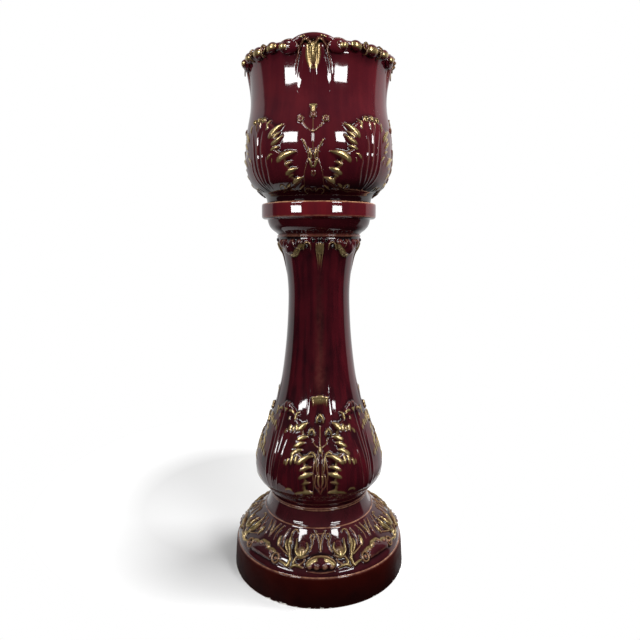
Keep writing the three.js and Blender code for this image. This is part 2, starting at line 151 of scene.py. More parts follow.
class Relief:
    """Over one eighth of a wall: the height of its ornament, its gilding, where its glaze is thin on an edge
    or pooled, and where painted shade darkens it. Ornament goes on the outer side, from the row start."""

    def __init__(self, wall, start=0):
        self.wall = wall
        self.outer = slice(start, int(np.argmax(wall.height)) + 1)
        self.degrees = np.linspace(0, FOLD, STEPS + 1)
        shape = (len(wall.along), STEPS + 1)
        self.lift, self.gold, self.thin, self.pool, self.dark = (np.zeros(shape) for _ in range(5))

    def _at(self, height, measure):
        """One of the wall's measures, at a height on its outer side."""
        return np.interp(height, self.wall.height[self.outer], measure[self.outer])

    def _distance(self, points, values, reach):
        """Over the cells near a path: how far from it they lie, the values along it there, and which side
        of it they are on, from -1, its right, to 1, its left."""
        path = smooth([[d, z, *v] for (d, z), v in zip(points, values)], step=1.5)
        middle = self._at(path[:, 1].mean(), self.wall.radius)
        x = np.radians(path[:, 0]) * middle
        y = self._at(path[:, 1], self.wall.along)
        across = np.radians(self.degrees) * middle
        along = self.wall.along
        rows = np.flatnonzero((along > y.min() - reach) & (along < y.max() + reach))
        rows = rows[(rows >= self.outer.start) & (rows < self.outer.stop)]
        columns = np.flatnonzero((across > x.min() - reach) & (across < x.max() + reach))
        gx, gy = np.meshgrid(across[columns], along[rows])
        best = np.full(gx.shape, 1e9)
        side = np.zeros(gx.shape)
        found = np.zeros(gx.shape + (path.shape[1] - 2,))
        for i in range(len(path) - 1):
            ax, ay, bx, by = x[i], y[i], x[i + 1], y[i + 1]
            span = max((bx - ax) ** 2 + (by - ay) ** 2, 1e-9)
            t = np.clip(((gx - ax) * (bx - ax) + (gy - ay) * (by - ay)) / span, 0, 1)
            d = np.hypot(gx - ax - t * (bx - ax), gy - ay - t * (by - ay))
            near = d < best
            best = np.where(near, d, best)
            turn = (bx - ax) * (gy - ay) - (by - ay) * (gx - ax)
            side = np.where(near, turn / (np.sqrt(span) * np.maximum(d, 1e-6)), side)
            value = path[i, 2:] + t[..., None] * (path[i + 1, 2:] - path[i, 2:])
            found = np.where(near[..., None], value, found)
        return np.ix_(rows, columns), best, found, side

    def _lay(self, area, rise, shine, inside, blend=0.7):
        """Lays a form over what is there: the higher of the two, with a small fillet between them."""
        before = self.lift[area]
        mixed = np.clip(0.5 + 0.5 * (rise - before) / blend, 0, 1)
        union = before + (rise - before) * mixed + blend * mixed * (1 - mixed)
        self.lift[area] = np.where(inside, union, before)
        gilt = self.gold[area] * (1 - mixed) + shine * mixed
        self.gold[area] = np.where(inside, gilt, self.gold[area])

    def stroke(self, points, width, out, gold=0.0, section=0.7, add=False):
        """A raised stroke, laid over what is there or added to it. Half its width, its height and its
        gilding are numbers, or lists along the points. The larger its section, the sharper its crest."""
        even = np.linspace(0, 1, len(points))
        spread = [np.interp(even, np.linspace(0, 1, np.size(v)), np.atleast_1d(v))
                  for v in (width, out, gold)]
        area, away, found, _ = self._distance(points, np.column_stack(spread), np.max(width) + 1)
        half, rise, gilt = np.moveaxis(found, -1, 0)
        q = np.clip(away / np.maximum(half, 0.05), 0, 1)
        body = (1 - q**2) ** section
        if add:
            self.lift[area] += rise * body
            self.gold[area] = np.maximum(self.gold[area], gilt * body)
        else:
            self._lay(area, rise * body, gilt * (1 - q**2) ** 0.3, q < 1)

    def lobe(self, points, width, out, gold=1.0):
        """A lobe of a leaf, from its tip back to its root: a round gilt edge on its upper side, and a long
        slope on its lower side that sinks into the leaf, where the gilding fades out as painted shade."""
        along = np.linspace(0, 1, 7)
        rise = np.interp(along, [0, 0.25, 0.7, 1], [0.55, 0.88, 0.86, 0.55]) * out
        gilt = np.interp(along, [0, 0.5, 0.8, 1], [1, 1, 0.6, 0.05]) * gold
        upper = np.interp(along, np.linspace(0, 1, len(width)), width)
        lower = np.minimum(upper * 2.2, upper + 5)
        values = np.column_stack([upper, lower, rise, gilt])
        area, away, found, side = self._distance(spaced(points, 7, 1), values, lower.max() + 1)
        above = 0.5 + 0.5 * side
        half = found[..., 0] * above + found[..., 1] * (1 - above)
        q = np.clip(away / np.maximum(half, 0.05), 0, 1)
        body = np.sqrt(1 - q**2) * above + 0.5 * (1 + np.cos(np.pi * q)) * (1 - above)
        # The gilding fades out on the lower slope: partly the gilding's own edge, partly painted shade on
        # that side.
        coat = (1 - q**2) ** 0.3 * above + np.clip(1 - 1.35 * q, 0, 1) * (1 - above)
        self._lay(area, found[..., 2] * body, found[..., 3] * coat * (0.5 + 0.5 * body), q < 1)

    def leaf_body(self, edge, foot, crown, rise, gilt, gilt_top):
        """The smooth middle of a leaf, out to an edge of [degrees, height] points, with a gilt margin."""
        edge = smooth(edge, 2)
        order = np.argsort(edge[:, 1])
        rows = np.arange(self.outer.start, self.outer.stop)
        rows = rows[(self.wall.height[rows] > foot) & (self.wall.height[rows] < crown)]
        height = self.wall.height[rows][:, None]
        side = np.interp(height, edge[order, 1], edge[order, 0])
        inward = np.radians(self.degrees - side) * self.wall.radius[rows][:, None]
        ends = np.minimum((height - foot) / 22, (crown - height) / 8)
        shoulder = np.clip(inward / 7, 0, 1) * np.clip(ends, 0, 1)
        shoulder = np.sin(0.5 * np.pi * shoulder) ** 1.2
        self.lift[rows] = np.maximum(self.lift[rows], rise * shoulder)
        band = np.clip(1 - inward / 8, 0, 1) * np.clip(inward / 1.5, 0, 1)
        band = band * np.clip((gilt_top - height) / 12, 0, 1)
        self.gold[rows] = np.maximum(self.gold[rows], gilt * band)

    def vein(self, points, width=3.2, out=1.1, gold=0.06):
        """A sharp ridge between two flutes of a leaf, dying away at both ends."""
        rise = np.interp(np.linspace(0, 1, 5), [0, 0.15, 0.8, 1], [0.2, 1, 0.9, 0.1]) * out
        self.stroke(spaced(points, 5, 2), width, rise, gold, 1.9, add=True)

    def boss(self, place, width, out, gold=0.0, tall=0.0):
        """A round knob, or a tall one."""
        degrees, height = place
        self.stroke([(degrees, height + tall), (degrees, height - tall - 0.1)], width, out, gold, 0.5)

    def ring(self, place, size, width, out, gold=0.0):
        """A raised ring. Size is the radius of its middle line."""
        degrees, height = place
        radius = self._at(height, self.wall.radius)
        points = [(degrees + math.degrees(size * math.cos(a) / radius), height + size * math.sin(a))
                  for a in np.radians(np.arange(0, 361, 30))]
        self.stroke(points, width, out, gold)

    def hood(self, place, size, gold=0.9):
        """A round berry darkened with painted shade, under a pointed gilt hood."""
        degrees, height = place
        wide = math.degrees(size / self._at(height, self.wall.radius))
        self.boss((degrees, height - 0.15 * size), 0.78 * size, 0.7 * size)
        self.shade((degrees, height - 0.15 * size), 0.85 * size)
        left = [(-0.95, -0.45), (-1.0, 0.2), (-0.62, 0.95)]
        around = left + [(0, 1.65)] + [(-x, y) for x, y in reversed(left)]
        self.stroke([(degrees + wide * x, height + size * y) for x, y in around],
                    np.array([0.2, 0.32, 0.42, 0.46, 0.42, 0.32, 0.2]) * size,
                    np.array([0.4, 0.6, 0.75, 0.8, 0.75, 0.6, 0.4]) * size, gold, 0.6)

    def shade(self, place, size):
        """A round patch of painted shade, where the glaze is darkened and does not thin on crests."""
        area, away, _, _ = self._distance([place, (place[0], place[1] - 0.1)], [[1], [1]], size + 1)
        self.dark[area] = np.maximum(self.dark[area], np.clip(1.6 - 1.6 * away / size, 0, 1))

    def gild(self, points, width, gold):
        """A soft stripe of gilding over a form that is there already."""
        area, away, _, _ = self._distance(points, [[width]] * len(points), width + 1)
        self.gold[area] = np.maximum(self.gold[area], gold * np.clip(1.5 - 1.5 * away / width, 0, 1))

    def blur(self, field, size):
        """The field averaged over a few millimetres; it mirrors at the middles of panel and leaf."""
        across = np.radians(FOLD / STEPS) * self.wall.radius.max()
        for axis, pitch in ((0, FINE), (1, across)):
            reach = max(2, int(3 * size / pitch))
            pad = [(reach, reach) if i == axis else (0, 0) for i in (0, 1)]
            padded = np.pad(field, pad, mode="reflect")
            field = np.apply_along_axis(np.convolve, axis, padded, bell(reach, pitch, size), mode="valid")
        return field

    def settle(self):
        """Rounds the sharpest edges of the relief a little, as the glaze does."""
        self.lift = self.blur(self.lift, 0.55)

    def fields(self):
        """The attributes that the glaze reads, all round. It thins on crests and corners, and pools in
        hollows; the pool attribute also carries the patches of painted shade."""
        clear = 1 - self.dark
        crest = np.clip((self.lift - self.blur(self.lift, 1.6) - 0.12) * 1.6, 0, 1) * clear
        corner = np.clip((self.wall.bend - 0.14) * 3.0, 0, 1)[:, None] * clear
        hollow = np.clip((self.blur(self.lift, 5.0) - self.lift) * 0.5, 0, 0.85)
        return {
            "gold": all_round(self.gold),
            "thin": all_round(np.maximum.reduce([crest, 0.65 * corner, self.thin])),
            "pool": all_round(np.maximum.reduce([hollow, self.dark, self.pool])),
        }


def all_round(field):
    """One eighth, mirrored and repeated to the whole turn."""
    pair = np.hstack([field[:, :-1], field[:, :0:-1]])
    return np.hstack([pair] * 4)


# ---------------------------------------------------------------- meshes

def floats(values):
    return np.ascontiguousarray(values, np.float32).ravel()


def new_piece(name, node, vertices, faces, fields, materials, normals=None, uv=None, second=None):
    """A piece of quads that stands for a node. The faces marked in second take the second material."""
    mesh = bpy.data.meshes.new(name)
    mesh.vertices.add(len(vertices))
    mesh.vertices.foreach_set("co", floats(vertices))
    mesh.loops.add(faces.size)
    mesh.loops.foreach_set("vertex_index", faces.ravel().astype(np.int32))
    mesh.polygons.add(len(faces))
    mesh.polygons.foreach_set("loop_start", np.arange(0, faces.size, 4, dtype=np.int32))
    mesh.update(calc_edges=True)
    for key, values in fields.items():
        mesh.attributes.new(key, "FLOAT", "POINT").data.foreach_set("value", floats(values))
    if uv is not None:
        mesh.uv_layers.new(name="OFBake").data.foreach_set("uv", floats(uv))
    mesh.polygons.foreach_set("use_smooth", np.ones(len(faces), bool))
    if normals is not None:
        mesh.normals_split_custom_set_from_vertices(normals.astype(np.float32))
    for finish in materials:
        mesh.materials.append(finish)
    if second is not None:
        mesh.polygons.foreach_set("material_index", second.astype(np.int32))
    piece = bpy.data.objects.new(name, mesh)
    bpy.context.scene.collection.objects.link(piece)
    body, slot = PLACES[node]
    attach(piece, body)
    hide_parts(node)


def turned_grid(relief, seed, push, turn):
    """The points of a wall with its relief, all round, in metres. Slow waves keep it from being perfect."""
    wall = relief.wall
    lift = all_round(relief.lift)
    columns = lift.shape[1]
    angle = np.radians(np.arange(columns) * 360 / columns + turn)
    chance = np.random.default_rng(seed)
    wave = np.zeros(lift.shape)
    for count in (2, 3, 5, 8):
        phase = chance.uniform(0, 2 * np.pi, 2)
        rate = chance.uniform(0.01, 0.03)
        wave += 0.14 * np.sin(count * angle + phase[0]) * np.sin(rate * wall.along + phase[1])[:, None]
    lift = lift + wave * np.clip(wall.radius / 90, 0, 1)[:, None] ** 2
    radius = wall.radius[:, None] + lift * wall.out[:, :1] + push[0]
    height = wall.height[:, None] + lift * wall.out[:, 1:] + push[1]
    radius = np.maximum(radius, 0)
    return np.stack([radius * np.sin(angle), -radius * np.cos(angle), height], axis=-1) * MM


def grid_normals(grid, closed):
    """The normals of a grid that goes all round, from the neighbours of each point."""
    if closed:
        below, above = np.roll(grid, 1, axis=0), np.roll(grid, -1, axis=0)
    else:
        below, above = np.vstack([grid[:1], grid[:-1]]), np.vstack([grid[1:], grid[-1:]])
    normal = np.cross(np.roll(grid, -1, axis=1) - np.roll(grid, 1, axis=1), above - below)
    normal = normal / np.maximum(np.linalg.norm(normal, axis=-1, keepdims=True), 1e-12)
    if not closed:
        normal[0] = (0, 0, -1)
        normal[-1] = (0, 0, 1)
    return normal


def grid_faces(along, columns, closed):
    """The quads of a grid that goes all round, and their corners in the unwrapped wall."""
    rows = len(along)
    i = np.arange(rows if closed else rows - 1)[:, None]
    j = np.arange(columns)[None, :]
    k = (i + 1) % rows
    m = (j + 1) % columns
    faces = np.stack([i * columns + j, i * columns + m, k * columns + m, k * columns + j], axis=-1)
    share = along / along[-1] * 0.99
    left, right, low, high = np.broadcast_arrays(
        j / columns, (j + 1) / columns, share[i], np.where(k > i, share[k], 1.0))
    uv = np.stack([left, low, right, low, right, high, left, high], axis=-1)
    return faces.reshape(-1, 4), uv.reshape(-1, 2)


def turned_piece(node, relief, materials, seed, push=(0, 0), turn=0.0, closed=True, second=None):
    """A node's wall all round, with its relief. Its rows close on themselves, or else end on the axis. The
    rows marked in second take the second material."""
    relief.settle()
    grid = turned_grid(relief, seed, push, turn)
    columns = grid.shape[1]
    faces, uv = grid_faces(relief.wall.along, columns, closed)
    marked = None if second is None else np.repeat(second[: len(faces) // columns], columns)
    new_piece(node + "_body", node, grid.reshape(-1, 3), faces, relief.fields(), materials,
              grid_normals(grid, closed).reshape(-1, 3), uv, marked)


# ---------------------------------------------------------------- materials

def feed(tree, node, values):
    """Gives a node's inputs their values, or links them to other nodes' outputs. Colours get an alpha."""
    for key, value in values.items():
        socket = node.inputs[key]
        if isinstance(value, bpy.types.NodeSocket):
            tree.links.new(value, socket)
        elif socket.type == "RGBA":
            socket.default_value = (*value, 1)
        else:
            socket.default_value = value


def new_node(tree, kind, values=None, **settings):
    node = tree.nodes.new("ShaderNode" + kind)
    for key, value in settings.items():
        setattr(node, key, value)
    feed(tree, node, values or {})
    return node


def attribute(tree, name):
    return new_node(tree, "Attribute", attribute_name=name).outputs["Fac"]


def noise(tree, scale, detail=3.0, stretch=(1, 1, 1), distortion=0.0):
    place = new_node(tree, "TexCoord").outputs["Object"]
    place = new_node(tree, "Mapping", {"Vector": place, "Scale": stretch}).outputs["Vector"]
    values = {"Vector": place, "Scale": scale, "Detail": detail, "Distortion": distortion}
    return new_node(tree, "TexNoise", values).outputs["Fac"]


def ramp(tree, value, low, high, start=0.0, end=1.0):
    """The value, with low to high stretched to start to end, and held there."""
    values = {"Value": value, "From Min": low, "From Max": high, "To Min": start, "To Max": end}
    return new_node(tree, "MapRange", values).outputs["Result"]


def combine(tree, a, b, operation="MULTIPLY"):
    return new_node(tree, "Math", {0: a, 1: b}, operation=operation).outputs["Value"]


def mix(tree, factor, a, b):
    """Colour a, or b where the factor is 1."""
    return new_node(tree, "Mix", {0: factor, 6: a, 7: b}, data_type="RGBA").outputs[2]


def bump(tree, height, strength):
    values = {"Height": height, "Strength": strength, "Distance": MM}
    return new_node(tree, "Bump", values).outputs["Normal"]


def split(tree, output):
    """The X, Y and Z of a place."""
    place = new_node(tree, "TexCoord").outputs[output]
    return new_node(tree, "SeparateXYZ", {"Vector": place}).outputs


def material(name):
    made = bpy.data.materials.new(name)
    made.use_nodes = True
    return made, made.node_tree, made.node_tree.nodes["Principled BSDF"]


GOLD_LIGHT = (0.68, 0.52, 0.24)
GOLD_DARK = (0.14, 0.08, 0.026)
THIN = (0.23, 0.085, 0.06)
COPPER = (0.62, 0.32, 0.17)
CLAY = (0.75, 0.72, 0.66)
GLOSS = 0.05              # roughness of the glaze
GILT_GLOSS = 0.22         # roughness of the gilding


def worn_edges(tree, colour, edge, most):
    """The colour, with the edge's own showing in patches where the glaze is thin."""
    patches = ramp(tree, noise(tree, 110, 3), 0.3, 0.62, 0.25, most)
    return mix(tree, combine(tree, attribute(tree, "thin"), patches), colour, edge)


def glaze(name, body, deep, streaks=0.35, edge=THIN):
    """A deep gloss glaze, darker where it pools and where shade is painted in, and paler where it thins on
    an edge, with the relief gilt by hand."""
    made, tree, shader = material(name)
    cloud = ramp(tree, noise(tree, 16, 3, distortion=0.6), 0.35, 0.68)
    streak = ramp(tree, noise(tree, 75, 2, stretch=(1, 1, 0.05)), 0.36, 0.64)
    depth = combine(tree, combine(tree, cloud, 0.4), combine(tree, streak, streaks), "ADD")
    colour = mix(tree, depth, body, deep)
    # Darkened where the glaze pools in hollows and where shade is painted in.
    colour = mix(tree, ramp(tree, attribute(tree, "pool"), 0.05, 0.8), colour, tuple(v * 0.3 for v in deep))
    colour = worn_edges(tree, colour, edge, 0.9)
    gold = attribute(tree, "gold")
    hand = combine(tree, noise(tree, 140, 4), 0.45)
    gilt = ramp(tree, combine(tree, gold, hand, "SUBTRACT"), -0.05, 0.5)
    tone = combine(tree, ramp(tree, noise(tree, 70, 3), 0.3, 0.7, 0.35, 1), ramp(tree, gold, 0.2, 1))
    colour = mix(tree, gilt, colour, mix(tree, tone, GOLD_DARK, GOLD_LIGHT))
    feed(tree, shader, {
        "Base Color": colour,
        "Metallic": ramp(tree, gilt, 0, 1, 0, 0.7),
        "Roughness": ramp(tree, gilt, 0, 1, GLOSS, GILT_GLOSS),
        "IOR": 1.5,
        "Coat Weight": 0.15,
        "Coat Roughness": 0.03,
        "Normal": bump(tree, noise(tree, 48, 2), 0.12),
    })
    return made


def satin(name, top, foot, height):
    """The plinth's side: thin matt glaze, redder at its top and darkened towards the floor with painted
    shade, chipped at its foot.
    """
    made, tree, shader = material(name)
    up = split(tree, "Object")["Z"]
    mottle = combine(tree, ramp(tree, noise(tree, 30, 4), 0.3, 0.7), 0.35)
    # The colour goes from top to foot with height: the dark foot colour is painted shade towards the floor.
    colour = mix(tree, combine(tree, ramp(tree, up, 0, height), mottle, "SUBTRACT"), foot, top)
    colour = worn_edges(tree, colour, THIN, 0.8)
    low = combine(tree, ramp(tree, up, 0.002, 0.007, 1, 0), 0.32)
    chips = ramp(tree, combine(tree, low, noise(tree, 120, 3), "ADD"), 0.87, 0.9)
    feed(tree, shader, {
        "Base Color": mix(tree, chips, colour, CLAY),
        "Roughness": ramp(tree, noise(tree, 40, 3), 0.3, 0.7, 0.34, 0.48),
        "Specular IOR Level": 0.02,
        "Normal": bump(tree, noise(tree, 60, 3), 0.15),
    })
    return made


# ---------------------------------------------------------------- jardiniere

def bowl_wall():
    foot = pot_foot
    floor = foot + 14
    line = outline(
        [(0, foot + 6), (88, foot + 6)],
        [(90, foot)],
        [(97, foot)],
        [(100, 738), (101, 744), (105.5, 749), (112, 754), (119, 761), (126, 770), (131.5, 780),
         (135.5, 792), (137.8, 805), (138.8, 818), (138.8, 832), (138, 846), (136.3, 860), (133.6, 876),
         (130.3, 892), (127.9, 908), (127, 925), (127.1, 938), (127.9, 952), (129.4, 966), (131.8, 977),
         (136.4, 979.5), (138.4, 984), (136.6, 988.6), (131.5, 990), (126.6, 987), (123.4, 977)],
        [(118.6, 940), (120, 905), (127, 860), (130.5, 825), (127, 790), (112, 764), (88, floor + 1),
         (60, floor)],
        [(0, floor)],
        soften=1.2,
    )
    return Wall(line, [(103, lengths(line)[np.argmax(line[:, 1])] + 14)])


def bowl_leaf(relief):
    """Acanthus on the belly: a fluted body, and lobes that curl out towards the panel."""
    relief.leaf_body([(31, 750), (22, 754), (16, 759), (14, 765), (15, 772), (17, 779), (16, 785),
        (18, 792), (19, 800), (18.4, 808), (24, 814), (27.4, 820), (26.6, 828), (25.4, 836), (27, 844),
        (26.4, 852), (30, 860), (35, 866), (43, 871)], 750, 872, 3.4, 0.65, 862)
    relief.vein([(45, 862), (45, 830), (45, 795), (45, 752)], 3.2, 1.8)
    relief.vein([(38.6, 850), (40.2, 829), (40.6, 812), (40.4, 796), (41, 780), (43, 758)], 3, 1.4)
    relief.vein([(35.4, 812), (36, 800), (35.6, 788), (36.4, 776), (39.6, 757)], 2.2, 1.2, 0.2)
    for points, width, out, gold in (
        (((8.4, 760), (11.2, 756.6), (14, 752.4)), (1.2, 2.6, 2), 2.6, 0.5),
        (((25.4, 756), (26.6, 763), (29.2, 762), (31.4, 755)), (1.6, 2.2, 2.2, 1.6), 3.4, 0.8),
        (((18.8, 765), (21.4, 761.6), (25, 757)), (2, 3.8, 3), 3.8, 0.8),
        (((8.4, 772.4), (11.4, 770.6), (14.6, 767), (18.2, 761)), (1.6, 4.2, 4.6, 3.6), 4.4, 0.9),
        (((15.6, 777.6), (18.2, 775), (21.6, 769)), (1.4, 3.2, 3.4), 3.8, 0.6),
        (((12.2, 786.4), (15.6, 785), (19, 781), (22.4, 774)), (1.6, 4.4, 5.2, 5), 4.8, 1),
        (((16, 796.8), (18.6, 795), (22, 789)), (1.6, 3.8, 4.4), 4.2, 0.7),
        (((11.9, 813), (16, 811.6), (20.4, 808.4), (24.6, 802), (28, 793)), (1.0, 5, 7.2, 8, 8), 5.4, 1),
        (((28.6, 811), (31.4, 811.4), (34, 807), (35.6, 800)), (1.8, 3.2, 3, 1.8), 5.2, 0.9),
        (((30.6, 807), (31, 801), (31.6, 794)), (1.6, 2, 1), 4.6, 0.8),
        (((25.6, 822.4), (29, 820.6), (33, 815)), (1.6, 3.8, 3.6), 4.8, 0.9),
        (((22, 840), (25.2, 835), (28.8, 829.6), (32.6, 823)), (1.0, 3.8, 4.6, 4), 5.2, 1),
        (((24.2, 845.6), (28, 840.4), (32, 833)), (1.0, 3.8, 4.2), 4.8, 0.9),
        (((21.4, 858.4), (24.8, 855.2), (28.4, 849.4), (31.6, 842), (33.6, 833)),
         (1, 4.4, 6.6, 6.6, 5.4), 5.8, 1),
        (((33, 867), (35.2, 861.4), (34.8, 856), (37, 847)), (1.0, 3.2, 3, 1.6), 5.2, 1),
    ):
        relief.lobe(points, width, out, gold)
    relief.ring((39.6, 869.6), 3.4, 1.8, 5.4, 0.8)
    relief.boss((45, 870.6), 4.6, 5.8, 0.85, 1)
    relief.stroke([(42.4, 865), (43, 858), (43.8, 846)], [2.2, 2.6, 1], [5.2, 5, 4], [0.75, 0.4, 0.05])


def bowl_sprig(relief):
    """A sprig of three buds over a lyre, in the middle of each panel."""
    line = dict(width=1.05, out=1.4, gold=0.5, section=0.8)
    relief.stroke([(0, 866), (0, 846)], **line)
    relief.stroke([(7.4, 860.6), (5, 853), (2.2, 847), (0.7, 845)], **line)
    relief.boss((0, 845.5), 2.4, 2, 0.6)
    relief.stroke([(0, 844), (0, 812)], **line)
    relief.boss((0, 872), 4.2, 3.6, 0.3)
    relief.ring((0, 872), 4.2, 1, 2.8, 0.5)
    relief.stroke([(0, 888), (1.9, 887.4)], 2.2, 3.2, 0.85)
    relief.stroke([(0, 886), (0, 880)], [3.6, 4.2], [2.6, 3], 0.75)
    relief.boss((9, 865.8), 3.6, 3.4, 0.25)
    relief.ring((9, 865.8), 4.4, 1.1, 3, 0.6)
    relief.stroke([(7.2, 832), (5.4, 824), (3.6, 814), (3.3, 802), (4.8, 792), (6.6, 780), (7.6, 766),
        (7.8, 752)], [1.2, 1.6, 1.5, 1.1, 1, 1, 1, 0.8], [2.8, 2.4, 1.9, 1.6, 1.5, 1.4, 1.2, 0.6],
        [0.75, 0.65, 0.55, 0.5, 0.4, 0.35, 0.3, 0.1], 0.8)
    relief.stroke([(2.3, 817), (1.5, 808), (1, 801)], [1.5, 2.2, 1.2], [2.4, 2.6, 1.4], 0.75)
    relief.stroke([(2.4, 800), (1.8, 794), (0.8, 788)], [2, 2.4, 1.5], [2.6, 2.6, 1.6], 0.75)
    relief.ring((0, 779), 3.2, 1.2, 2.2, 0.45)
    relief.boss((0, 777), 2, 2, 0.1, 2)
    relief.stroke([(1.4, 751), (4.2, 755.5), (7.6, 754.5), (8.6, 750), (6.6, 747.4)],
        [1.2, 1.5, 1.5, 1.4, 1.1], 2, 0.35)


def bowl_pendant(relief):
    """Two long petals that hang from the rim, gilt at their tops, under a fine drawn arch."""
    relief.stroke([(5.6, 972), (6.2, 962), (6.8, 950), (7.2, 936), (7.4, 914)], [6.6, 9, 10.6, 11.4, 11],
        [4, 3.8, 2.8, 1.5, 0], 0, 0.7)
    relief.gild([(2.6, 974), (3.4, 966), (2.6, 957), (1.2, 950)], 6.6, 0.72)
    relief.stroke([(0.6, 970), (2, 977), (4.8, 980.6), (7.8, 978), (10.2, 971), (11.8, 962), (13, 951),
        (13.6, 940)], [1.3, 1.6, 1.7, 1.6, 1.5, 1.4, 1.3, 1], [4.2, 5.4, 5.8, 5.2, 3.8, 2.4, 1.1, 0.1],
        [0.8, 0.6, 0.5, 0.45, 0.35, 0.25, 0.1, 0], 0.8)
    relief.stroke([(0, 975), (0.2, 964), (0.5, 950)], [2.6, 3.2, 2], [5, 4, 0.4], [1, 0.9, 0.1], 0.7)
    relief.vein([(0.8, 950), (1, 935), (1.4, 908)], 1.4, 0.4, 0.1)


def rim_push(relief):
    """How far the wall's top moves out and up for the arch over each panel, mm."""
    rise = np.clip((relief.wall.height - 962) / 18, 0, 1)[:, None]
    rise = rise * rise * (3 - 2 * rise)
    bow = np.clip(1 - (relief.degrees / 15.5) ** 2, 0, 1)[None, :] ** 0.8
    return all_round(2.0 * rise * bow), all_round(9.5 * rise * bow)


def closed_tube(rings, ends):
    """The vertices and quads of a tube of rings, with quads that share a point at each of its ends."""
    rows, around = rings.shape[:2]
    i, j = np.meshgrid(np.arange(rows - 1), np.arange(around), indexing="ij")
    k = (j + 1) % around
    wall = np.stack([i * around + j, (i + 1) * around + j, (i + 1) * around + k, i * around + k], -1)
    even = np.arange(0, around, 2)
    last = (rows - 1) * around
    pole = 0 * even + rows * around
    start = np.stack([pole, even, even + 1, (even + 2) % around], -1)
    end = np.stack([pole + 1, last + (even + 2) % around, last + even + 1, last + even], -1)
    return np.vstack([rings.reshape(-1, 3), ends]), np.vstack([wall.reshape(-1, 4), start, end])


def wire(path, radius, gilt, sides=8):
    """A round-ended wire along a path, with its gilding."""
    path = np.array(path, float)
    along = np.gradient(path, axis=0)
    along /= np.linalg.norm(along, axis=1, keepdims=True)
    out = path * (1, 1, 0)
    out /= np.linalg.norm(out, axis=1, keepdims=True)
    across = np.cross(along, out)
    across /= np.linalg.norm(across, axis=1, keepdims=True)
    out = np.cross(across, along)
    turn = np.arange(sides) * 2 * np.pi / sides
    circle = np.cos(turn)[None, :, None] * out[:, None] + np.sin(turn)[None, :, None] * across[:, None]
    ends = [path[0] - along[0] * radius * 0.6, path[-1] + along[-1] * radius * 0.6]
    points, quads = closed_tube(path[:, None] + radius * circle, ends)
    return points, quads, np.full(len(points), gilt)


def on_rim(degrees, radius, height):
    angle = math.radians(degrees)
    return np.array((radius * math.sin(angle), -radius * math.cos(angle), height))


def bead(degrees, radius, height, size, gilt, tilt=0.0, around=20, up=12):
    """A bead on the rim, gilt on its outer side. Size is half its width along the rim, half its depth and
    half its height."""
    polar = np.linspace(0, np.pi, up + 1)[1:-1]
    p, t = np.meshgrid(polar, np.arange(around) * 2 * np.pi / around, indexing="ij")
    rings = np.stack([np.sin(p) * np.cos(t), np.sin(p) * np.sin(t), np.cos(p)], -1)
    ball, quads = closed_tube(rings, [(0, 0, 1), (0, 0, -1)])
    x, y, z = (ball * size).T[..., None]
    lean = math.radians(tilt)
    angle = math.radians(degrees)
    across = np.array((math.cos(angle), math.sin(angle), 0))
    outward = np.array((math.sin(angle), -math.cos(angle), 0))
    points = (on_rim(degrees, radius, height) + (x * math.cos(lean) - z * math.sin(lean)) * across
              - y * outward + (x * math.sin(lean) + z * math.cos(lean)) * (0, 0, 1))
    front = -ball[:, 1]
    coat = gilt * np.clip(1.2 - 1.75 * np.abs(ball[:, 2] + 0.12), 0, 1) * np.clip(front * 1.5 + 0.2, 0, 1)
    return points, quads, coat


def rim_side(panel, side):
    """One side of an arch: its roll, its scroll with a ball and the fine lines of its C, a bead, and a
    small one in a ring."""
    def at(degrees):
        return panel + side * degrees + POT_TURN

    def fine_line(points, radius, thick):
        path = [on_rim(at(d), radius, z) for d, z in smooth(points, 1)]
        return wire(path if side > 0 else path[::-1], thick, 0.35)

    outer = [(10.2, 966), (10, 976), (11.6, 984), (14.6, 989), (18.6, 990.6), (22.4, 988), (24.6, 983.6)]
    inner = [(18.6, 986.2), (16.9, 984.4), (16.2, 980.4), (17.2, 976.2), (19.4, 973.6)]
    ring = [on_rim(at(37.6 + 1.9 * math.cos(a)), 141.8, 983.2 + 5 * math.sin(a))
            for a in np.radians(np.linspace(0, 360, 25))]
    return [
        bead(at(7), 138.8, 992, (5.4, 2.8, 2.2), 0.9, tilt=-16 * side),
        bead(at(17.6), 133.4, 980.8, (17.5, 7.4, 12.4), 0),
        bead(at(21), 138.9, 979.8, (7.4, 6.6, 7.2), 1.1),
        fine_line(outer, 137.2, 1.15),
        fine_line(inner, 140, 0.9),
        bead(at(30.8), 136.6, 982.8, (11, 7.4, 8.4), 0.95, tilt=-12 * side),
        bead(at(37.8), 137.6, 983, (4, 5.6, 5.2), 0.15),
        wire(ring, 1.1, 0.55),
    ]


def rim_corner(panel):
    """The large bead over a leaf, and the fillets at its two sides."""
    middle = panel + FOLD + POT_TURN
    shapes = [bead(middle, 136, 981.4, (14, 8.4, 9.8), 0.95)]
    for side in (-1, 1):
        path = [on_rim(middle + side * (6.3 + 0.35 * abs(math.sin(a))), 136.6 + 6.8 * math.cos(a),
                       981.3 + 9.6 * math.sin(a)) for a in np.radians(np.linspace(-115, 115, 17))]
        shapes.append(wire(path, 1.5, 0.45))
    return shapes


def rim_ornament(finish):
    """All that stands on the rim, as one piece."""
    shapes = []
    for panel in (0, 90, 180, 270):
        shapes += rim_side(panel, -1) + rim_side(panel, 1) + rim_corner(panel)
    points, quads, gilt = zip(*shapes)
    starts = np.cumsum([0] + [len(p) for p in points])
    quads = np.vstack([q + start for q, start in zip(quads, starts)])
    plain = np.zeros(starts[-1])
    fields = {"gold": np.concatenate(gilt), "thin": plain, "pool": plain}
    new_piece("jardiniere_rim", "jardiniere", np.vstack(points) * MM, quads, fields, [finish])


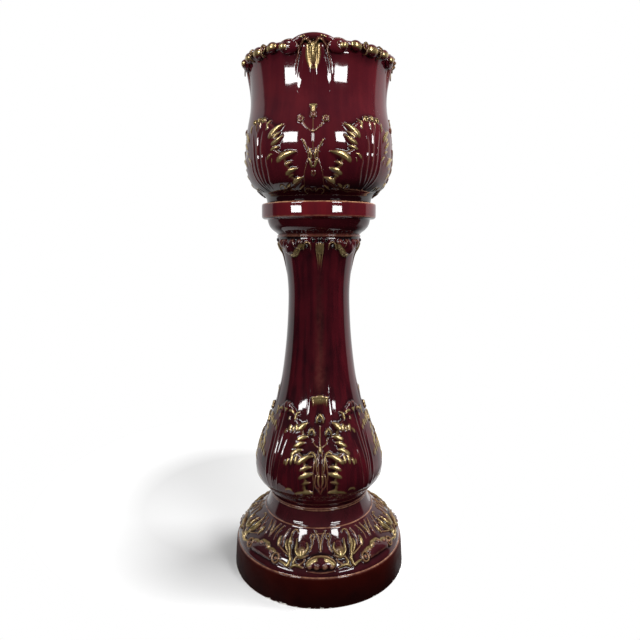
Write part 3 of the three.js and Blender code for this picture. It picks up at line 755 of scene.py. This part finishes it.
def make_jardiniere(finish):
    wall = bowl_wall()
    relief = Relief(wall, start=int(np.argmax(wall.height > pot_foot + 10)))
    bowl_leaf(relief)
    bowl_sprig(relief)
    bowl_pendant(relief)
    # Painted shade: the wall darkens towards the pot's foot, under its belly.
    foot_painted_shade = np.interp(wall.height, [735, 755, 775, 880], [0.95, 0.85, 0.34, 0])
    foot_painted_shade[relief.outer.stop:] = 0
    relief.dark = np.maximum(relief.dark, foot_painted_shade[:, None])
    turned_piece("jardiniere", relief, [finish], 3, rim_push(relief), POT_TURN, closed=False)
    rim_ornament(finish)


# ---------------------------------------------------------------- stand

def column_wall():
    low, high = base_top, top_low
    line = outline(
        [(97, low), (101, 162), (108, 169), (116, 179), (122.5, 190), (126.5, 202), (128.5, 214),
         (128.5, 226), (126.5, 240), (122, 257), (115, 275), (106.5, 296), (97.5, 318), (88, 343),
         (80, 371), (74, 401), (69, 437), (65, 474), (62.3, 511), (60.7, 547), (60.7, 571), (62.3, 595),
         (65.5, 619), (69, 637), (74, 650), (79, 661), (80, 667), (80.5, 673), (80, high)],
        [(71, high)],
        [(68, 655), (58, 620), (51.7, 570), (53, 511), (60, 437), (71, 371), (88, 318), (106, 275),
         (117, 240), (119, 214), (113, 190), (98, 169), (86, low)],
        [(97, low)],
        soften=0.8,
    )
    outer_end = lengths(line)[np.argmax(line[:, 1])]
    return Wall(line, [(0, 235), (outer_end - 90, outer_end)])


def bulb_leaf(relief):
    """Acanthus on the bulb, with clusters of lobes towards the panel."""
    relief.leaf_body([(30, 176), (20, 184), (13, 193), (11.4, 203), (12, 212), (11.4, 222), (11, 232),
        (12, 243), (12.4, 254), (12.6, 264), (17, 270), (20, 276), (18.4, 286), (17, 296), (16.6, 306),
        (17.6, 315), (21, 323), (26, 330), (28, 340), (35, 350), (43, 357)], 178, 358, 3.4, 0.7, 328)
    relief.vein([(45, 348), (45, 300), (45, 240), (45, 182)], 2.6, 1.1)
    relief.vein([(39.4, 320), (40.6, 300), (41.6, 275), (42.2, 252), (43, 225), (43.4, 195)], 2.6, 0.7)
    relief.vein([(34, 300), (36, 282), (37, 264), (37.6, 240), (38.6, 210), (41, 188)], 2.4, 0.7)
    relief.boss((42.6, 350), 7, 4.6, 0, 1)
    for points, width, out, gold in (
        (((7.0, 202), (11.4, 203), (16.6, 201.4), (21.6, 198), (26, 193)), (1.8, 4.8, 5.2, 4, 3), 4.4, 0.9),
        (((22.6, 199.6), (25.8, 206), (29.4, 203.6), (31.8, 195)), (2.2, 3.6, 3.8, 2.4), 4.4, 0.85),
        (((9.2, 222.6), (12.6, 221.6), (16.6, 217.4), (20, 212)), (1.6, 3.4, 3.6, 3), 3.8, 0.6),
        (((7.4, 238.2), (11.2, 236.6), (15.6, 232), (19.4, 225)), (1.8, 4.4, 5, 4.6), 4.8, 1),
        (((8.6, 250.6), (12, 249.4), (15.8, 245), (19.4, 238)), (1.6, 3.6, 4.2, 4), 4.4, 0.85),
        (((31.8, 262), (32.4, 252), (32.6, 243)), (2.4, 3.4, 1.4), 4.6, 0.5),
        (((16.4, 264), (17.6, 257), (18.4, 250)), (2.2, 3, 1.4), 4.8, 0.8),
        (((28.6, 263), (29.8, 254), (31, 243)), (2.4, 3.6, 1.6), 4.8, 0.9),
        (((21, 270), (21.8, 261), (22, 250)), (2.4, 3.6, 1.6), 5.2, 1),
        (((25, 269), (25.8, 259), (26, 247)), (2.6, 3.8, 1.6), 5.2, 1),
        (((6.7, 269), (10.2, 268.4), (14.4, 264), (18.2, 257.6), (21.4, 249)),
         (1.2, 3.4, 4.8, 5.2, 4.4), 5.2, 1),
        (((18, 278.4), (21.4, 276.2), (25, 270.6), (28, 262)), (1.8, 4.2, 5.2, 4.6), 5.2, 1),
        (((16.2, 290.6), (19.6, 288.6), (23.6, 284), (27.4, 277)), (1.8, 4, 4.2, 3.6), 4.8, 0.9),
        (((14, 301), (17.4, 299.8), (21, 296.6), (25, 290)), (1.8, 4, 4.4, 3.6), 4.8, 0.95),
        (((36, 312), (37.8, 305), (39.4, 297)), (2.4, 4.2, 2), 4.8, 0.6),
        (((33, 320), (33.2, 312), (33.2, 301)), (3, 4.6, 2.2), 5.0, 0.9),
        (((29.4, 318), (29.2, 311), (28.6, 303)), (2.8, 4.2, 2), 5.0, 0.7),
        (((25.6, 322), (25.6, 314), (24.8, 305)), (2.8, 4.4, 2), 5.2, 0.85),
        (((14.6, 324.6), (18, 320.6), (21.6, 314.6), (25, 306)), (1.2, 4.2, 5.6, 5.2), 5.2, 1),
        (((25.4, 342), (28.6, 338.6), (29.4, 331), (29, 322)), (1.0, 2.4, 2.4, 2.6), 4.8, 0.95),
    ):
        relief.lobe(points, [1.3 * w for w in width], out, gold)
    relief.lobe(((31.6, 336), (34, 341), (38, 342), (41, 337)), (2.2, 3.6, 3.8, 2.6), 5.4, 0.95)
    relief.lobe(((40.4, 344), (42.6, 345), (45, 341), (45.4, 334)), (1.8, 3.2, 3.4, 2.6), 5.2, 0.8)
    relief.lobe(((36.6, 334), (37, 328), (37.8, 321)), (2.4, 3.4, 1.8), 4.8, 0.7)
    # Painted shade between the lobes at the top of the leaf.
    relief.shade((33.6, 332), 3.2)
    relief.shade((40.6, 336), 3)


def bulb_sprig(relief):
    line = dict(width=1.1, out=1.5, gold=0.55, section=0.8)
    relief.hood((0, 329), 6.2)
    relief.hood((9, 306), 5.2)
    relief.stroke([(0, 320), (0, 283)], **line)
    relief.stroke([(7.8, 298), (6.2, 290.6), (3.4, 285), (0.6, 283)], **line)
    relief.stroke([(0, 284), (0, 277)], [2.8, 3.4], [3, 2.8], 0.85)
    relief.stroke([(1.7, 276), (2, 262), (1.3, 236)], [1.3, 1.1, 1], [1.7, 1.5, 1.3], 0.5, 0.8)
    relief.stroke([(10.6, 272.4), (8, 275.4), (5.2, 272), (4, 262), (3.2, 246), (2.4, 236)],
        [1.4, 1.9, 1.9, 1.6, 1.3, 1], [2.6, 3, 2.8, 2.3, 1.9, 1.2], [0.75, 0.8, 0.8, 0.7, 0.5, 0.3], 0.8)
    relief.stroke([(5, 262), (5.6, 250), (6.2, 236), (5.6, 214), (6.8, 190)], [1, 1.2, 1.2, 1.1, 0.8],
        [1.4, 1.8, 1.7, 1.4, 0.7], [0.5, 0.5, 0.4, 0.3, 0.1], 0.8)
    relief.stroke([(2.4, 238), (4.2, 232), (4.4, 218), (2.4, 208)], [1.2, 1.4, 1.4, 1.1],
        [1.8, 2.2, 2, 1.4], [0.6, 0.5, 0.35, 0.2], 0.8)
    relief.stroke([(1.6, 234), (1.9, 224), (0.6, 212)], [2, 2.2, 1.4], [2.4, 2.4, 1.4], [0.7, 0.5, 0.3])
    relief.stroke([(2, 212), (1.2, 206), (0, 198)], [1.6, 2, 1], [1.8, 1.8, 1], 0.3)


def collar(relief):
    """The gilt hem over each panel of the bulb, drawn up a little in the middle, with its ends hanging."""
    relief.stroke([(10.8, 369.6), (7.6, 371), (3.6, 371.6), (0, 371.8)], 1.9, [2.6, 2.8, 2.8, 2.8], 0.95,
        0.7)
    relief.stroke([(10.2, 368), (9, 360), (8.6, 350)], [1.8, 1.5, 0.8], [2.4, 1.6, 0.3], [0.85, 0.55, 0.1],
        0.8)
    relief.stroke([(12.8, 398), (12.6, 378), (12.8, 352), (13.6, 330)], [3, 4.4, 4.6, 3], [0, 1, 1, 0.2])
    for degrees in (0, 2.6, 5.2, 7.4):
        relief.stroke([(degrees, 369), (degrees, 361), (degrees, 351)], [2.6, 2.6, 2], [1.6, 0.9, 0],
            [0.8, 0.42, 0], 0.9)


def capital(relief):
    """Round lobes with gilt lower edges under the neck, and a gilt drop with fine ribs between them."""
    relief.stroke([(27.6, 662), (30.6, 657)], [6.4, 8], [5.4, 6.6], 0, 0.6)
    relief.stroke([(39, 656.6), (42, 653.6), (45, 652.4)], [12.6, 15.4, 16.6], [8, 10.2, 11], 0, 0.62)
    relief.gild([(45, 638.6), (39.6, 640), (35.4, 644.4), (32, 650), (28, 653.4), (25.6, 657)], 5.6, 0.9)
    relief.stroke([(36.4, 667), (35, 661), (33.8, 656)], [1.2, 1.4, 1], [7.4, 8.4, 8], 0.4, 0.9)
    relief.stroke([(23.6, 651), (21.4, 658.6), (18, 662.6), (14.4, 662), (12.4, 657), (12.6, 650)],
        [1.8, 1.9, 1.7, 1.6, 1.5, 1], [3.8, 3.8, 3.4, 3.2, 2.8, 1.6], [0.8, 0.7, 0.6, 0.6, 0.5, 0.2], 0.8)
    # Small knobs, darkened with painted shade.
    for place, size in (((18, 655), 2.6), ((8.6, 666.6), 3.8), ((0, 667.6), 4.0)):
        relief.boss(place, size, 2.8)
        relief.shade(place, size + 2)
    relief.stroke([(0, 659), (0, 652), (0, 645)], [4.4, 6.6, 5.4], [3.4, 4.2, 3], [0.6, 0.9, 0.8], 0.7)
    relief.stroke([(4.6, 660), (4.8, 650), (4.2, 640), (2.6, 622), (1.8, 602)], [1.2, 1.4, 1.3, 1.1, 0.8],
        [2.6, 2.8, 2.2, 1.4, 0.2], [0.6, 0.7, 0.6, 0.35, 0.1], 0.8)
    relief.stroke([(0, 646), (0, 626), (0, 604)], [2.6, 2.4, 1.6], [1.6, 0.9, 0.1], [0.8, 0.4, 0.05], 0.8)
    for ring_height, out in ((674, 1.3), (671, -1.0)):
        relief.stroke([(0, ring_height), (45, ring_height)], 1.3, out, 0.35 if out > 0 else 0, 0.8,
            add=True)


def make_column(finish):
    wall = column_wall()
    relief = Relief(wall)
    bulb_leaf(relief)
    bulb_sprig(relief)
    collar(relief)
    capital(relief)
    up_shaft = np.interp(wall.height, [375, 400, 480, 640], [0, 0.24, 0.12, 0])[:, None]
    relief.thin[:] = up_shaft * np.exp(-(relief.degrees / 7) ** 2)
    turned_piece("stand_column", relief, [finish], 5)


def base_wall():
    top = base_top
    line = outline(
        [(166, 0), (174, 0)],
        [(176, 1.5), (176, 6), (174.4, 30), (172.6, 52)],
        [(171.4, 56.4), (168.5, 58.6)],
        [(168, 62), (165, 68), (157, 80), (146, 92), (134, 103), (122, 113), (113.6, 120.4)],
        [(112.4, 122.4), (110, 123.6)],
        [(107.4, 127), (103.6, 136), (100, 146), (98.4, 149.6)],
        [(100.8, 150.6), (101.4, 152.2), (100.2, 153.6)],
        [(101, 154.6), (100.6, 156), (97, top)],
        [(84, top)],
        [(88, 142), (103, 113), (135, 88), (158, 60), (163, 20), (166, 0)],
        soften=0.6,
    )
    return Wall(line, [(66, 161)])


def skirt(relief):
    """The band of shells, tulip sprays and hooked stalks on the skirt."""
    # The shell in the middle of a panel: a gilt brow over round lobes
    relief.stroke([(0, 80), (4, 79), (8, 76)], [10.5, 9.5, 6], [6.6, 6, 3.6], 0.04, 0.55)
    relief.stroke([(0, 87.4), (4, 86.4), (7.4, 83), (9.6, 78)], [3.2, 3.4, 3.2, 2.2], [7.2, 7.2, 6.6, 4.6],
        0.5, 0.8)
    relief.boss((2.6, 75.4), 6.4, 7.6, 0)
    relief.boss((7.2, 74.6), 5, 6.6, 0)
    relief.gild([(3.4, 83), (6.4, 80.6), (8.4, 76.6)], 4.6, 0.95)
    relief.stroke([(0, 65.4), (3, 66), (8.8, 67.6)], 1.2, [0.9, 1.2, 0.6], 0.15, 0.9)
    # Fine lines over it
    relief.stroke([(0, 94), (0.3, 103), (1.8, 111), (4.7, 119.4)], [1.2, 1.1, 1.1, 1], [2, 1.9, 1.8, 1.4],
        0.6, 0.8)
    relief.stroke([(8.4, 93.4), (7.4, 97), (6.6, 103), (7.2, 108), (8.4, 111), (7.2, 115), (5.4, 114),
        (5.2, 110.4), (6.8, 107.4)], 1.1, [1.4, 1.9, 2.2, 2.4, 2.4, 2.4, 2.4, 2.2, 1.8], 0.55, 0.8)
    relief.stroke([(0, 115.2), (4.6, 115.2)], 1, 1.6, 0.35, 0.8)
    # The tulip: a wide cup between two pointed petals
    relief.stroke([(14, 88), (14, 94), (14, 101)], [6.4, 9.6, 9], [5.2, 6.6, 3], [0.8, 0.45, 0.1], 0.75)
    relief.stroke([(13.2, 86.6), (10.8, 92), (9.8, 98), (11, 103.6)], [1.8, 2.2, 2.2, 1.2],
        [5, 5.6, 5.6, 4.2], 0.7)
    relief.stroke([(16, 86.6), (18.4, 92), (18.8, 99), (19.8, 107)], [1.8, 2.4, 2.4, 1.2], [5, 5.8, 5.6, 4],
        [0.8, 0.85, 0.8, 0.6])
    relief.stroke([(9.6, 88.6), (13, 84.6), (17.4, 85.4)], 1.2, 3.4, 0.5)
    # The twin blades with a bud at their top, and the hooked stalk over them
    relief.stroke([(24, 89), (26, 93.4), (27.4, 98), (27.6, 103.4)], [1.6, 2.3, 2.4, 1.2], [4, 5, 5.2, 3.4],
        [0.6, 0.8, 0.85, 0.6])
    relief.stroke([(22, 87), (23.2, 93), (25, 99), (25.6, 106.4)], [1.6, 2.3, 2.5, 1.6], [4.2, 5.2, 5.4, 4],
        [0.6, 0.85, 0.9, 0.9])
    relief.stroke([(23.4, 100), (25.2, 107.4), (25.6, 112.6), (24, 117.2), (21.6, 117.4), (20.2, 114.8)],
        [1.3, 1.5, 1.5, 1.5, 1.4, 1], [3.4, 3.2, 2.8, 2.6, 2.4, 1.8], 0.6, 0.8)
    # The leaflet beside them on its stem
    relief.stroke([(33.2, 93), (34.2, 98.6), (34.6, 104.6)], [1.6, 3.6, 1.6], [2.8, 4.2, 2.8],
        [0.5, 0.75, 0.85])
    relief.stroke([(32.8, 94), (28, 89.6), (24, 86)], 1.4, [2.2, 2.6, 3], [0.3, 0.5, 0.7], 0.8)
    # Stems and curls below
    relief.stroke([(23, 87), (21.2, 82), (21.6, 76), (22.4, 71.2), (25, 73.6), (28, 75)],
        [2.4, 2.8, 2.4, 2.8, 2.4, 1.8], [4, 4.6, 4.2, 4.4, 4, 3], [0.8, 0.9, 0.85, 0.95, 0.9, 0.8])
    relief.stroke([(17.2, 84.6), (18.4, 79), (18.4, 73)], [1.8, 2.6, 1.6], [3.4, 4, 3], [0.5, 0.8, 0.6])
    relief.stroke([(19.6, 70.6), (17.2, 74.4), (14.6, 73.6), (11.6, 71.8)], [1.8, 2.6, 2.2, 1.4],
        [3, 4, 3.4, 2.2], [0.8, 0.9, 0.8, 0.5])
    relief.stroke([(11, 83.4), (12.2, 79), (14.6, 75)], [1, 1.3, 1.4], [2.4, 2.8, 2.8], 0.45)
    # The volute and the corner's shell
    relief.ring((31.8, 77), 6.8, 1.9, 4.8, 0.45)
    relief.boss((31.8, 77), 3.2, 4.4, 0.1)
    relief.stroke([(36.4, 77), (40.6, 79.6), (45, 81)], [6.8, 9.6, 10.4], [4.2, 5.4, 5.8], 0.05, 0.6)
    relief.boss((37, 83), 4.6, 5, 0)
    relief.boss((42, 87), 5.6, 6, 0)
    relief.gild([(34, 84.6), (37, 86.6), (39.6, 86), (42, 91), (45, 91.4)], 4.4, 0.62)
    # Ribs over the corner
    relief.stroke([(29.4, 117), (31, 110), (31.2, 102), (29.4, 95)], [1.2, 2, 1.8, 1], [1.4, 2.2, 2, 0.8],
        [0.35, 0.3, 0.15, 0.1], 0.9)
    relief.stroke([(36, 118), (38.2, 112), (39.6, 105), (39.4, 98)], [1.2, 2, 1.8, 1], [1.4, 2.2, 2, 0.8],
        [0.35, 0.5, 0.3, 0.1], 0.9)
    relief.stroke([(41.4, 118), (43.4, 109), (45, 99)], [1.4, 2.2, 1.4], [2, 2.8, 1.8], [0.4, 0.55, 0.3])


def make_base(finish, side_finish):
    plinth_top = 56.5
    wall = base_wall()
    relief = Relief(wall)
    skirt(relief)
    for low, high in ((57.4, 58.5), (121.6, 123), (151.6, 152.8)):
        ledge = (wall.height > low) & (wall.height < high) & (wall.radius > 99)
        relief.thin[ledge] = 0.8
    turned_piece("stand_base", relief, [finish, side_finish], 7, second=wall.height < plinth_top)


def make_top(finish):
    low, high = top_low, plate_top
    well = high - 4
    underside = high - 14
    line = outline(
        [(71, low), (80, low)],
        [(83, 680.6), (88.8, 684.7), (92.7, 688.5), (95.4, 692), (97.2, 696), (98.6, 700), (99.5, 705.4)],
        [(106, 706), (109.4, 708)],
        [(110.4, 711), (110.4, high - 4)],
        [(109.6, high - 1.2), (107, high)],
        [(100.5, high)],
        [(99.8, well)],
        [(15, well)],
        [(15, underside)],
        [(82, underside)],
        [(88, 706), (80, 690), (71, low)],
        soften=0.7,
    )
    wall = Wall(line, [])
    relief = Relief(wall)
    relief.thin[(wall.height > high - 1.6) & (wall.radius > 106.6)] = 1
    # Painted shade: the ovolo under the plate is darkened all round.
    relief.pool[wall.height < 705] = 0.6
    turned_piece("stand_top", relief, [finish], 9)


# ---------------------------------------------------------------- studio

def lamp(name, azimuth, elevation, away, width, height, strength, aim=0.6):
    """A softbox turned to a height on the object's axis. Its azimuth is from the camera's side of the
    object, to the right."""
    light = bpy.data.lights.new(name, "AREA")
    light.shape = "RECTANGLE"
    light.size = width
    light.size_y = height
    light.energy = strength * width * height * math.pi
    place = bpy.data.objects.new(name, light)
    turn = math.radians(azimuth - CAMERA_TURN)
    rise = math.radians(elevation)
    target = Vector((0, 0, aim))
    outward = Vector((math.sin(turn) * math.cos(rise), -math.cos(turn) * math.cos(rise), math.sin(rise)))
    place.location = target + away * outward
    place.rotation_euler = (place.location - target).to_track_quat("Z", "Y").to_euler()
    bpy.context.scene.collection.objects.link(place)
    return place


def make_world():
    """A white sweep behind the object, and a dim room in front of it, where the camera stands. The camera
    sees white all round, and the glaze mirrors the sweep a little brighter than it lights."""
    world = bpy.data.worlds.new("studio")
    bpy.context.scene.world = world
    world.use_nodes = True
    tree = world.node_tree
    place = split(tree, "Generated")
    sweep = combine(tree, ramp(tree, place["Y"], 0.22, 0.3), ramp(tree, place["Z"], -0.6, -0.35))
    ceiling = ramp(tree, place["Z"], -0.05, 0.5, 0.012, 0.09)
    room = combine(tree, combine(tree, sweep, 0.56), ceiling, "MAXIMUM")
    ray = new_node(tree, "LightPath").outputs
    mirrored = combine(tree, ray["Is Glossy Ray"], ray["Is Transmission Ray"], "MAXIMUM")
    mirrored = combine(tree, combine(tree, mirrored, sweep), 0.66)
    shown = combine(tree, ray["Is Camera Ray"], mirrored, "MAXIMUM")
    strength = combine(tree, room, shown, "MAXIMUM")
    feed(tree, tree.nodes["Background"], {"Color": (1, 1, 1), "Strength": strength})


def make_floor():
    """A disc of pale paper under the object, for its shadow. To the camera it fades to white at its edge."""
    radius = 0.565
    middle = (-0.17, 0.375, 0)
    bpy.ops.mesh.primitive_circle_add(vertices=96, radius=radius, fill_type="NGON", location=middle)
    floor = bpy.context.object
    floor.name = "floor"
    made, tree, shader = material("floor_paper")
    place = new_node(tree, "TexCoord").outputs["Object"]
    away = new_node(tree, "VectorMath", {0: place, 1: (0, -0.12, 0)}, operation="DISTANCE").outputs["Value"]
    seen = new_node(tree, "LightPath").outputs["Is Camera Ray"]
    feed(tree, shader, {
        "Base Color": (0.61, 0.61, 0.61),
        "Roughness": 0.9,
        "Specular IOR Level": 0,
        "Emission Color": (1, 1, 1),
        "Emission Strength": combine(tree, seen, ramp(tree, away, 0.27, radius, 0.05, 0.7)),
    })
    floor.data.materials.append(made)


def make_camera():
    """The camera that fits the ellipses of the plinth, the plate and the rim in the photo."""
    lens = bpy.data.cameras.new("camera")
    lens.lens = 29.78
    lens.sensor_width = 36
    camera = bpy.data.objects.new("camera", lens)
    away, height, down, aside = 1.0515, 0.6675, 8.65, 0.12
    angle = math.radians(-CAMERA_TURN)
    camera.location = (away * math.sin(angle), -away * math.cos(angle), height)
    camera.rotation_euler = (math.radians(90 - down), 0, angle - math.radians(aside))
    bpy.context.scene.collection.objects.link(camera)
    bpy.context.scene.camera = camera


def make_lamps():
    """Windows at both sides, which the glaze mirrors, and a key lamp, which only lights and casts the
    shadow."""
    for side, azimuth, width in (("left", -43, 0.85), ("right", 35, 0.8)):
        lamp("window_" + side, azimuth, 20.4, 2.4, width, 0.32, 24)
        lamp("sill_" + side, azimuth, 6, 2.35, width, 0.12, 24)
        lamp("skylight_" + side, math.copysign(42, azimuth), 58, 2.2, 0.34, 0.3, 20, aim=0.1)
    key = lamp("key", 108, 46, 2.2, 1.2, 1.2, 16, aim=0.3)
    key.visible_glossy = False


make_jardiniere(glaze("pot_glaze", (0.092, 0.008, 0.013), (0.036, 0.003, 0.008)))
make_column(glaze("stand_glaze", (0.066, 0.005, 0.009), (0.012, 0.002, 0.004), streaks=0.6))
make_top(glaze("plate_glaze", (0.125, 0.008, 0.012), (0.045, 0.005, 0.010), edge=COPPER))
make_base(glaze("base_glaze", (0.045, 0.006, 0.009), (0.018, 0.003, 0.005), edge=(0.34, 0.17, 0.10)),
          satin("plinth_glaze", (0.032, 0.003, 0.002), (0.010, 0.002, 0.002), 0.056))
make_world()
make_floor()
make_camera()
make_lamps()
bpy.context.scene.view_settings.view_transform = "Standard"
